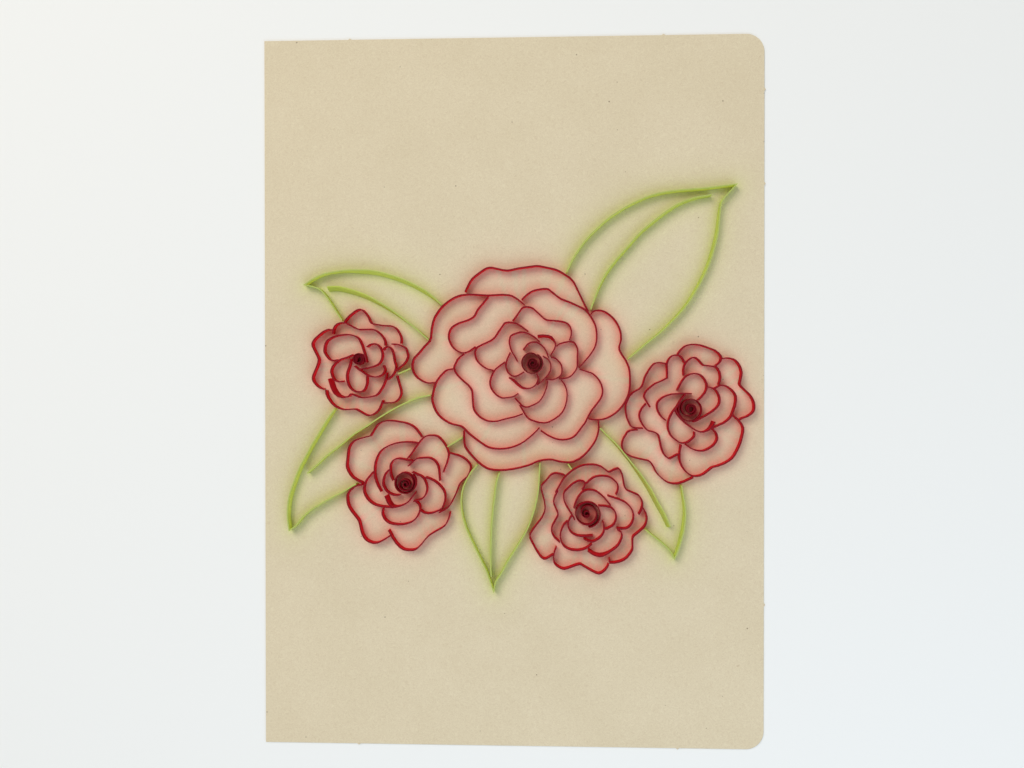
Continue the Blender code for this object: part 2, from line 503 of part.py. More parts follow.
RIGHT_ROSE = (
    Strip(
        "right_rose_petals_2",
        ((48.4, 0.7), (49.3, 2.5), (50.4, 4.2), (51.7, 5.2), (53.4, 5.6), (55.1, 5.2), (56.3, 3.9),
         (57.0, 2.2), (56.7, 0.5), (55.6, -1.1), (54.4, -2.2)),
    ),
    Strip(
        "right_rose_petals_1",
        ((52.5, -0.3), (50.9, -0.2), (48.6, -0.3), (46.1, -0.6), (43.9, -1.6), (42.6, -3.1), (42.7, -5.1),
         (43.7, -6.9), (45.1, -8.1)),
    ),
    Strip(
        "right_rose_petals_1",
        ((50.6, -0.7), (49.5, -2.0), (48.2, -4.2), (46.9, -5.9), (46.0, -7.9), (45.7, -10.1), (46.4, -12.3),
         (47.8, -13.7), (49.5, -14.7), (51.1, -14.6), (52.5, -13.7), (53.4, -12.6), (53.4, -11.5)),
    ),
    Strip(
        "right_rose_petals_2",
        ((57.5, 1.6), (59.0, 1.2), (60.1, 0.0), (60.7, -1.7), (60.5, -3.4), (59.3, -4.9), (57.3, -6.3),
         (55.1, -7.6), (53.1, -8.5)),
    ),
    Strip(
        "right_rose_petals_1",
        ((48.0, -5.3), (48.6, -6.5), (49.5, -7.7), (50.7, -8.8), (52.3, -10.0), (54.2, -11.2),
         (55.9, -11.5), (57.3, -10.8), (58.2, -9.6), (58.7, -8.3)),
        ((0.0, 0.0), (0.75, 0.0), (0.9, -0.5), (1.0, -0.6)),
    ),
    Strip(
        "right_rose_petals_2",
        ((59.5, 1.4), (60.9, 2.1), (62.6, 1.9), (64.3, 0.7), (65.3, -0.9), (65.3, -3.1), (64.7, -5.1),
         (64.0, -6.9), (62.3, -8.6), (60.4, -9.5), (58.4, -10.4)),
    ),
    Strip(
        "right_rose_petals_2",
        ((58.8, -10.8), (59.7, -11.8), (60.0, -13.3), (59.3, -14.9), (57.9, -16.1), (55.9, -17.0),
         (53.7, -16.8), (52.0, -16.0), (51.0, -15.2)),
    ),
    Strip(
        "right_rose_petals_3",
        ((50.3, 5.0), (50.2, 6.7), (50.7, 8.4), (52.0, 9.8), (53.4, 10.3), (54.5, 9.6), (55.9, 8.1),
         (57.6, 7.8), (59.5, 7.5), (60.5, 6.4), (60.9, 4.7), (60.7, 3.1), (60.4, 2.4)),
    ),
    Strip(
        "right_rose_petals_4",
        ((64.7, -6.7), (65.7, -7.6), (66.8, -8.8), (67.5, -10.4), (67.1, -13.2), (66.0, -16.3),
         (64.3, -19.1), (62.1, -20.6), (60.1, -21.4), (58.4, -21.9), (56.7, -23.3), (55.1, -24.2),
         (53.1, -24.4), (51.4, -23.5), (50.0, -21.9), (49.2, -19.9), (49.1, -17.7), (49.5, -15.2)),
    ),
    Strip(
        "right_rose_petals_3",
        ((50.4, 8.9), (49.9, 10.0), (48.9, 10.8), (47.3, 10.9), (46.0, 9.9), (45.4, 8.3), (45.5, 6.1),
         (45.5, 4.3), (45.5, 4.3), (44.0, 3.5), (41.9, 2.6), (40.2, 1.2), (39.1, 0.0), (38.8, -1.3),
         (39.6, -2.7), (40.5, -4.2)),
    ),
    Strip(
        "right_rose_petals_4",
        ((39.3, -3.2), (38.0, -4.8), (37.4, -6.5), (37.7, -8.1), (38.8, -10.0), (39.9, -11.1),
         (41.6, -11.5), (42.9, -12.3), (43.4, -14.3), (43.9, -16.5), (44.7, -18.2), (46.1, -19.3),
         (47.5, -18.6), (48.6, -18.0)),
    ),
    Strip(
        "right_rose_petals_3",
        ((45.0, 8.5), (43.0, 8.8), (41.6, 8.4), (40.2, 6.7), (39.0, 4.5), (38.3, 2.2), (37.4, 1.1),
         (35.7, 0.1), (34.3, -1.4), (33.5, -3.7), (33.6, -6.5), (34.6, -9.3), (35.4, -10.1), (36.9, -10.4),
         (38.4, -10.4)),
    ),
    Strip(
        "right_rose_petals_3",
        ((48.6, 11.3), (49.5, 12.6), (50.9, 13.7), (53.1, 14.1), (55.3, 13.8), (57.6, 13.0), (59.5, 12.2),
         (61.1, 10.5), (60.8, 9.0), (59.7, 8.0)),
    ),
    Strip(
        "right_rose_petals_4",
        ((61.5, 9.9), (62.9, 10.1), (64.9, 9.6), (66.3, 8.1), (67.0, 6.1), (66.8, 4.2), (66.5, 2.4),
         (67.9, 0.8), (69.6, -0.9), (70.6, -3.1), (70.5, -5.3), (69.1, -6.7), (66.6, -7.7)),
    ),
    Strip(
        "right_rose_petals_4",
        ((36.9, -10.9), (34.3, -11.3), (32.9, -13.2), (32.3, -15.1), (32.8, -17.1), (34.6, -18.5),
         (37.1, -19.3), (40.2, -20.0), (41.3, -21.3), (42.3, -23.3), (44.1, -25.2), (46.1, -26.4),
         (48.5, -26.6), (50.9, -25.8), (52.8, -24.9)),
    ),
)

LEAVES = (
    Strip(
        "upper_left_leaf_edge",
        ((-20.2, 25.5), (-23.5, 27.9), (-27.6, 30.4), (-31.7, 32.4), (-35.9, 33.9), (-40.0, 35.0),
         (-44.1, 35.5), (-48.3, 35.8), (-52.4, 35.6), (-55.3, 35.1), (-58.2, 33.9), (-61.3, 31.9),
         (-61.3, 31.9), (-58.6, 31.3), (-56.5, 30.3), (-54.6, 28.2), (-52.8, 25.4), (-51.0, 22.7),
         (-50.1, 21.3)),
        ((0.0, 0.0), (0.08, -0.8), (0.4, -0.8), (0.58, 0.0), (1.0, 0.0)),
    ),
    Strip(
        "upper_left_leaf_vein",
        ((-54.5, 30.2), (-51.6, 30.3), (-48.4, 29.6), (-44.2, 28.3), (-40.1, 26.4), (-36.0, 24.1),
         (-31.8, 21.3), (-27.6, 18.3), (-24.5, 15.6)),
        ((0.0, 1.1), (0.3, 1.0), (0.6, 0.6), (0.9, 0.0), (1.0, 0.0)),
    ),
    Strip(
        "upper_right_leaf_edge",
        ((16.1, 35.2), (17.8, 38.8), (19.8, 42.0), (22.0, 44.9), (24.9, 47.8), (28.1, 50.7), (32.0, 53.3),
         (35.8, 55.4), (40.6, 57.4), (45.4, 58.5), (50.2, 59.0), (55.0, 59.3), (59.8, 59.8), (65.4, 60.5),
         (65.4, 60.5), (63.4, 58.3), (61.2, 55.5), (60.4, 51.3), (59.9, 47.4), (58.9, 43.1), (57.5, 38.3),
         (55.7, 34.0), (53.4, 29.7), (50.6, 25.3), (46.8, 21.0), (43.0, 17.3), (38.8, 13.9), (34.1, 9.9)),
        ((0.0, 0.0), (0.56, 0.0), (0.63, 0.4), (0.85, 0.25), (0.97, 0.0), (1.0, 0.0)),
    ),
    Strip(
        "upper_right_leaf_vein",
        ((23.2, 24.3), (24.0, 26.4), (25.8, 30.6), (28.1, 34.9), (31.0, 38.8), (34.4, 42.6), (37.7, 46.4),
         (41.6, 49.7), (45.4, 52.6), (49.1, 54.9), (53.5, 56.6), (58.2, 57.5)),
        ((0.0, 0.0), (0.15, 0.4), (0.8, 0.3), (1.0, 0.0)),
    ),
    Strip(
        "lower_left_leaf_edge",
        ((-52.3, -4.8), (-54.6, -8.4), (-56.5, -11.6), (-58.9, -15.5), (-60.9, -19.1), (-62.9, -23.0),
         (-64.4, -27.0), (-65.6, -30.6), (-66.2, -33.8), (-66.4, -37.0), (-66.0, -40.9), (-66.0, -40.9),
         (-64.0, -39.4), (-62.1, -37.0), (-60.1, -35.2), (-57.3, -33.4), (-53.8, -31.4), (-50.3, -29.6),
         (-48.6, -28.6), (-47.1, -27.6), (-46.0, -27.0)),
        ((0.0, 0.0), (0.06, -0.2), (0.45, -0.35), (0.6, 0.0), (1.0, 0.0)),
    ),
    Strip(
        "lower_left_leaf_vein",
        ((-60.6, -23.9), (-57.8, -21.5), (-54.6, -18.5), (-50.6, -15.5), (-46.7, -12.3), (-42.7, -9.8),
         (-38.8, -7.2), (-34.8, -4.8), (-30.8, -2.8), (-27.2, -1.4), (-23.9, -0.8)),
    ),
    Strip("lower_left_leaf_upper_tail", ((-33.4, 5.6), (-31.7, 6.3), (-29.8, 7.1))),
    Strip("lower_left_leaf_lower_tail", ((-18.9, -15.9), (-16.7, -14.6), (-14.5, -13.2))),
    Strip(
        "bottom_leaf_edge",
        ((-10.1, -21.2), (-11.5, -22.8), (-13.1, -25.3), (-14.4, -28.3), (-14.9, -31.7), (-14.7, -35.0),
         (-13.9, -38.4), (-12.6, -41.8), (-11.0, -45.1), (-9.1, -49.0), (-7.3, -52.7), (-6.4, -55.3),
         (-5.3, -58.5), (-5.3, -58.5), (-4.7, -55.7), (-3.0, -53.1), (-1.3, -49.9), (0.8, -46.5),
         (3.0, -43.0), (5.0, -39.2), (6.5, -34.9), (7.6, -30.3), (8.1, -25.3), (8.3, -20.7)),
    ),
    Strip(
        "bottom_leaf_vein",
        ((-3.6, -23.5), (-4.6, -26.1), (-5.2, -30.0), (-5.7, -34.1), (-6.1, -38.4), (-6.3, -43.0),
         (-6.4, -48.0), (-6.2, -52.2), (-6.0, -54.0)),
        ((0.0, 0.0), (0.1, 0.3), (0.8, 0.3), (1.0, 0.0)),
    ),
    Strip(
        "lower_right_leaf_vein",
        ((25.9, -10.4), (27.3, -12.0), (30.3, -15.1), (33.2, -18.6), (35.3, -21.4), (37.7, -25.0),
         (39.8, -28.3), (41.8, -32.1), (43.9, -35.8), (45.7, -39.5)),
        ((0.0, 0.0), (0.12, 0.3), (0.4, 0.35), (0.55, 0.9), (0.9, 0.9), (1.0, 0.7)),
    ),
    Strip(
        "lower_right_leaf_edge",
        ((49.6, -27.1), (49.8, -29.0), (50.3, -32.2), (50.5, -35.4), (50.1, -39.1), (49.3, -42.8),
         (48.4, -46.1), (47.5, -48.5), (47.5, -48.5), (46.2, -46.1), (44.4, -44.3), (42.0, -42.4),
         (40.0, -40.8), (39.1, -40.0)),
        ((0.0, 0.0), (0.1, 0.1), (0.45, 0.4), (0.62, 0.0), (1.0, 0.0)),
    ),
    Strip("lower_right_leaf_tail", ((16.5, -20.9), (17.1, -21.7), (17.6, -22.4))),
)


def clear_scene():
    """Removes every object of the scene."""
    for obj in list(bpy.data.objects):
        bpy.data.objects.remove(obj, do_unlink=True)


def new_collection(name):
    """Makes a collection under the scene's own."""
    collection = bpy.data.collections.new(name)
    bpy.context.scene.collection.children.link(collection)
    return collection


def paper(name, colour, roughness):
    """Makes a matt paper material of one colour."""
    material = bpy.data.materials.new(name)
    material.use_nodes = True
    shader = material.node_tree.nodes["Principled BSDF"]
    shader.inputs["Base Color"].default_value = (*colour, 1.0)
    shader.inputs["Roughness"].default_value = roughness
    shader.inputs["Metallic"].default_value = 0.0
    return material


def smooth_run(points):
    """Samples a smooth curve through the points, at the fine step."""
    lengths = np.linalg.norm(np.diff(points, axis=0), axis=1)
    slopes = np.empty_like(points)
    slopes[1:-1] = (points[2:] - points[:-2]) / (lengths[1:] + lengths[:-1])[:, None]
    slopes[0] = (points[1] - points[0]) / lengths[0]
    slopes[-1] = (points[-1] - points[-2]) / lengths[-1]
    samples = []
    for index, length in enumerate(lengths):
        share = np.arange(0.0, 1.0, FINE_STEP / length)[:, None]
        square = share * share
        cube = square * share
        samples.append(
            points[index] * (2 * cube - 3 * square + 1)
            + slopes[index] * length * (cube - 2 * square + share)
            + points[index + 1] * (3 * square - 2 * cube)
            + slopes[index + 1] * length * (cube - square)
        )
    samples.append(points[-1:])
    return np.concatenate(samples)


def strip_runs(points):
    """Splits a strip's points at its sharp folds, and smooths each stretch between them."""
    stretches = [[points[0]]]
    for before, point in zip(points, points[1:]):
        if point == before:
            stretches.append([point])
        else:
            stretches[-1].append(point)
    return [smooth_run(np.array(stretch) * MILLIMETRE) for stretch in stretches]


def coil_path(coil):
    """Samples a rolled strip from its outer end to its heart."""
    mouth = np.array(coil.mouth) * MILLIMETRE
    heart = np.array(coil.heart) * MILLIMETRE
    turns_given, radii_given = np.array(coil.loose_radii).T
    outer = radii_given[0]
    tight = radii_given[-1]
    loose_turns = turns_given[-1]
    pitch = (STRIP_THICKNESS + COIL_AIR_GAP) / MILLIMETRE
    turns = loose_turns + (tight - coil.heart_radius) / pitch
    samples = []
    for turn in np.linspace(0.0, turns, math.ceil(turns * STEPS_PER_TURN)):
        loose_radius = np.interp(turn, turns_given, radii_given)
        radius = (loose_radius - max(turn - loose_turns, 0.0) * pitch) * MILLIMETRE
        angle = math.radians(coil.start_degrees) + coil.winding * math.tau * turn
        centre = mouth + (heart - mouth) * (outer - loose_radius) / (outer - tight)
        samples.append(centre + radius * np.array((math.cos(angle), math.sin(angle))))
    return np.array(samples)


def closest(points, laid):
    """Gives each point's distance to the laid strips and the closest place on them."""
    starts = np.concatenate([path[:-1] for path in laid])
    runs = np.concatenate([path[1:] for path in laid]) - starts
    share = ((points[:, None] - starts) * runs).sum(axis=2) / (runs * runs).sum(axis=1)
    feet = starts + np.clip(share, 0.0, 1.0)[..., None] * runs
    distances = np.linalg.norm(points[:, None] - feet, axis=2)
    best = distances.argmin(axis=1)
    rows = np.arange(len(points))
    return distances[rows, best], feet[rows, best]


def crosses(path, laid):
    """Says for each short piece of a path whether it crosses a laid strip."""
    starts = np.concatenate([other[:-1] for other in laid])
    runs = np.concatenate([other[1:] for other in laid]) - starts
    steps = np.diff(path, axis=0)
    between = starts - path[:-1, None]
    turn = steps[:, None, 0] * runs[:, 1] - steps[:, None, 1] * runs[:, 0]
    turn = np.where(turn == 0.0, np.nan, turn)
    along = (between[..., 0] * runs[:, 1] - between[..., 1] * runs[:, 0]) / turn
    across = (between[..., 0] * steps[:, None, 1] - between[..., 1] * steps[:, None, 0]) / turn
    hit = (along >= 0.0) & (along <= 1.0) & (across >= 0.0) & (across <= 1.0)
    return hit.any(axis=1)


def cut_end(path, laid):
    """Cuts off what lies past a laid strip near the path's last end."""
    reach = min(int(TRIM_REACH / FINE_STEP), len(path) // 2)
    found = np.flatnonzero(crosses(path, laid))
    near_end = found[found > len(path) - reach]
    return path[: near_end[0] + 1] if len(near_end) else path


def ease_off(path, laid):
    """Moves the points that lie too close to a laid strip off it."""
    path = path.copy()
    for _ in range(EASING_ROUNDS):
        distances, feet = closest(path, laid)
        close = distances < STRIP_SPACING
        away = (path[close] - feet[close]) / np.maximum(distances[close], FINE_STEP / 100)[:, None]
        path[close] = feet[close] + away * STRIP_SPACING
    return path


def thin_out(path, chord_error):
    """Keeps the fewest points that stay within the chord error of the path."""
    if len(path) < 3:
        return list(path)
    run = path[-1] - path[0]
    length = max(np.linalg.norm(run), FINE_STEP / 100)
    across = (path - path[0]) @ np.array((-run[1], run[0])) / length
    far = int(np.abs(across[1:-1]).argmax()) + 1
    if abs(across[far]) <= chord_error:
        return [path[0], path[-1]]
    return thin_out(path[: far + 1], chord_error)[:-1] + thin_out(path[far:], chord_error)


def bend(path, chord_error, shortest_bend):
    """Turns fine samples into the points of a bent strip, none closer than the shortest bend."""
    middle = len(path) // 2
    points = thin_out(path[: middle + 1], chord_error)[:-1] + thin_out(path[middle:], chord_error)
    kept = [points[0]]
    for point in points[1:-1]:
        from_last = np.linalg.norm(point - kept[-1])
        to_end = np.linalg.norm(point - points[-1])
        if min(from_last, to_end) > shortest_bend:
            kept.append(point)
    return np.array([*kept, points[-1]])


def lay_strip(strip, laid):
    """Works out where a strip's foot runs among the strips already laid."""
    runs = strip_runs(strip.points)
    runs[-1] = cut_end(runs[-1], laid)
    runs[0] = cut_end(runs[0][::-1], laid)[::-1]
    runs = [bend(ease_off(run, laid), PETAL_CHORD_ERROR, PETAL_SHORTEST_BEND) for run in runs]
    for before, after in zip(runs, runs[1:]):
        after[0] = before[-1]
    return np.concatenate([runs[0]] + [run[1:] for run in runs[1:]])


def glue_ends(path, mates):
    """Carries the ends of a path onto the strips that it is glued to in the same piece."""
    distances, feet = closest(path[[0, -1]], mates)
    before = [feet[0]] if distances[0] < GLUE_REACH else []
    after = [feet[1]] if distances[1] < GLUE_REACH else []
    return np.array([*before, *path, *after])


def leans_along(path, lean):
    """Gives the sideways shift of the top edge at each point of a path."""
    steps = np.diff(path, axis=0)
    lengths = np.linalg.norm(steps, axis=1)
    shares = np.concatenate([[0.0], np.cumsum(lengths)]) / lengths.sum()
    ways = steps / lengths[:, None]
    ways = np.concatenate([ways[:1], ways[:-1] + ways[1:], ways[-1:]])
    ways = ways / np.maximum(np.linalg.norm(ways, axis=1), FINE_STEP)[:, None]
    amounts = np.interp(shares, *zip(*lean)) * MILLIMETRE
    return np.stack([-ways[:, 1], ways[:, 0]], axis=1) * amounts[:, None]


def stand_strip(name, path, lean, material, collection):
    """Stands a strip of paper on its foot line and gives it its thickness."""
    shifts = leans_along(path, lean)
    form = bmesh.new()
    feet = [form.verts.new((x, y, STRIP_FOOT)) for x, y in path]
    line = [form.edges.new(pair) for pair in zip(feet, feet[1:])]
    bmesh.ops.extrude_edge_only(form, edges=line)
    for foot, shift in zip(feet, shifts):
        upright = next(edge for edge in foot.link_edges if edge.other_vert(foot) not in feet)
        top = upright.other_vert(foot)
        top.co.x += shift[0]
        top.co.y += shift[1]
        top.co.z += math.sqrt(STRIP_WIDTH**2 - shift @ shift)
    bmesh.ops.recalc_face_normals(form, faces=form.faces)
    mesh = bpy.data.meshes.new(name)
    form.to_mesh(mesh)
    form.free()
    mesh.materials.append(material)
    strip = bpy.data.objects.new(name, mesh)
    collection.objects.link(strip)
    wall = strip.modifiers.new("Paper", "SOLIDIFY")
    wall.thickness = STRIP_THICKNESS
    wall.offset = 0.0
    wall.use_even_offset = True
    return strip


def glue_together(carrier, others):
    """Joins strips of one piece to the first of them."""
    for other in others:
        other.hide_render = True
        other.display_type = "WIRE"
        joint = carrier.modifiers.new(other.name, "BOOLEAN")
        joint.operation = "UNION"
        joint.solver = "EXACT"
        joint.object = other


def make_card(material, collection):
    """Makes the card, square at its left corners and rounded at its right ones."""
    form = bmesh.new()
    bmesh.ops.create_cube(form, size=1.0)
    bmesh.ops.scale(form, vec=(CARD_WIDTH, CARD_LENGTH, CARD_THICKNESS), verts=form.verts)
    bmesh.ops.translate(form, vec=(0.0, 0.0, CARD_THICKNESS / 2), verts=form.verts)
    right_corners = [
        edge
        for edge in form.edges
        if all(vert.co.x > 0.0 for vert in edge.verts) and edge.verts[0].co.y == edge.verts[1].co.y
    ]
    bmesh.ops.bevel(
        form,
        geom=right_corners,
        offset=CORNER_RADIUS,
        segments=CORNER_SEGMENTS,
        profile=0.5,
        affect="EDGES",
        material=-1,
    )
    mesh = bpy.data.meshes.new("card")
    form.to_mesh(mesh)
    form.free()
    mesh.materials.append(material)
    collection.objects.link(bpy.data.objects.new("card", mesh))


def main():
    """Builds the card, lays every strip, and stands the strips up."""
    clear_scene()
    parts = new_collection("quilled_paper_flower")
    glued = new_collection("glued_strips")
    make_card(paper("cream card", (0.72, 0.60, 0.42), 0.9), parts)
    red = paper("red paper", (0.42, 0.02, 0.035), 0.75)
    green = paper("green paper", (0.42, 0.55, 0.10), 0.75)

    laid = []
    for coil in COILS:
        laid.append(bend(coil_path(coil), COIL_CHORD_ERROR, COIL_SHORTEST_BEND))
        stand_strip(coil.node, laid[-1], UPRIGHT, red, parts)

    pieces = {}
    for strip in (*BIG_ROSE, *LEFT_ROSE, *LOWER_LEFT_ROSE, *LOWER_RIGHT_ROSE, *RIGHT_ROSE, *LEAVES):
        path = lay_strip(strip, laid)
        laid.append(path)
        pieces.setdefault(strip.node, []).append((strip, path))

    for node, strips in pieces.items():
        colour = green if "leaf" in node else red
        standing = []
        for index, (strip, path) in enumerate(strips):
            mates = [other for _, other in strips[:index]]
            name = f"{node}_strip_{index + 1}" if index else node
            run = glue_ends(path, mates) if mates else path
            standing.append(stand_strip(name, run, strip.lean, colour, glued if index else parts))
        glue_together(standing[0], standing[1:])


main()
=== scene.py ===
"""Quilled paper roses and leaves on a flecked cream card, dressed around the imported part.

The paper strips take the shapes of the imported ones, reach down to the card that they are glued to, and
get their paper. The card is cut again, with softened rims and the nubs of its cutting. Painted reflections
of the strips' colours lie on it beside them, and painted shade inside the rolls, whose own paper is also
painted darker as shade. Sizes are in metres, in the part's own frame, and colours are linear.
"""

import logging
import math
from dataclasses import dataclass, field
from enum import Enum
from typing import Any

import bmesh
import bpy
from mathutils import Matrix, Vector
from mathutils.bvhtree import BVHTree


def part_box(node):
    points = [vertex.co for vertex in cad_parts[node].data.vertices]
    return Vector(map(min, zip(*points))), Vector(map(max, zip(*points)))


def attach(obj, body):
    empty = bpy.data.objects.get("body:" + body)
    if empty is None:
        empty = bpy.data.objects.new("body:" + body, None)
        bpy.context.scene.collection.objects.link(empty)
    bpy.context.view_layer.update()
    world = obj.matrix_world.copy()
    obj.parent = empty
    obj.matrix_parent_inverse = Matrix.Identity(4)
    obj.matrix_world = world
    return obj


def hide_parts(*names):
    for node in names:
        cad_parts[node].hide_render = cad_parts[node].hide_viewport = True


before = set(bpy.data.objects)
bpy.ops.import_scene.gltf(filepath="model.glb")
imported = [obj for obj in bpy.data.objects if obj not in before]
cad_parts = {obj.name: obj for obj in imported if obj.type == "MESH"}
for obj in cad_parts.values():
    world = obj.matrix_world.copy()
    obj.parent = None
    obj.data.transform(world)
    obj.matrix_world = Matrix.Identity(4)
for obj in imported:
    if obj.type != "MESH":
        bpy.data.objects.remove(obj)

BODY = "root"
ROLL_ENDING = "_coil"
ROSES = ("big_rose", "left_rose", "lower_left_rose", "lower_right_rose", "right_rose")
LEAVES = ("upper_left_leaf", "upper_right_leaf", "lower_left_leaf", "bottom_leaf", "lower_right_leaf")

log = logging.getLogger("quilled_flower")


class Paper(Enum):
    """The papers that the picture is made of."""

    CARD = "card"
    RED = "red_paper"
    GREEN = "green_paper"


class PaintedLight(Enum):
    """The card's attributes of painted light: how strongly each strip colour's painted reflection tints it,
    and where painted shade darkens it inside the rolls.
    """

    RED = "painted_red_reflection"
    GREEN = "painted_green_reflection"
    ROLL = "painted_roll_shade"


class Rim(Enum):
    """The card's rims that hold nubs, each as the direction that points out over it."""

    TOP = (0.0, 1.0)
    BOTTOM = (0.0, -1.0)
    RIGHT = (1.0, 0.0)


class Nodes:
    """A small helper that adds and wires the nodes of one tree.

    A Mix node has sockets for each type of data, so its colour sockets are picked by number.
    """

    MIX_INPUTS = (0, 6, 7)
    MIX_OUTPUT = 2

    def __init__(self, tree: bpy.types.NodeTree) -> None:
        """Keeps the tree that the nodes go into."""
        self.tree = tree

    def feed(self, socket: bpy.types.NodeSocket, value: Any) -> None:
        """Links or sets an input.

        Args:
            socket: The input.
            value: The socket to link to it, or the value to set.
        """
        if isinstance(value, bpy.types.NodeSocket):
            self.tree.links.new(value, socket)
        else:
            socket.default_value = value

    def add(self, kind: str, links: dict[Any, Any] | None = None, **settings: Any) -> bpy.types.Node:
        """Adds a node.

        Args:
            kind: The node's type name.
            links: Input names or numbers, each with a socket to link or a value to set.
            settings: Properties of the node.

        Returns:
            The new node.
        """
        node = self.tree.nodes.new(kind)
        for name, value in settings.items():
            setattr(node, name, value)
        for name, value in (links or {}).items():
            self.feed(node.inputs[name], value)
        return node

    def maths(self, operation: str, first: Any, second: Any = 0.0) -> bpy.types.NodeSocket:
        """Adds a Math node.

        Args:
            operation: What it does.
            first: The first input, a socket or a number.
            second: The second input, a socket or a number.

        Returns:
            The node's output.
        """
        return self.add("ShaderNodeMath", {0: first, 1: second}, operation=operation).outputs[0]

    def blend(self, share: Any, low: Any, high: Any) -> bpy.types.NodeSocket:
        """Mixes two colours.

        Args:
            share: How much of the second colour shows.
            low: The first colour.
            high: The second colour.

        Returns:
            The mixed colour.
        """
        node = self.add("ShaderNodeMix", data_type="RGBA")
        for number, value in zip(self.MIX_INPUTS, (share, low, high)):
            self.feed(node.inputs[number], value)
        return node.outputs[self.MIX_OUTPUT]

    def step(self, value: Any, low: float, high: float) -> bpy.types.NodeSocket:
        """Turns a value into a mask that rises smoothly from 0 to 1.

        Args:
            value: The value to read.
            low: Where the mask starts to rise.
            high: Where it reaches 1.

        Returns:
            The mask.
        """
        links = {"Value": value, "From Min": low, "From Max": high}
        node = self.add("ShaderNodeMapRange", links, interpolation_type="SMOOTHSTEP")
        return node.outputs[0]


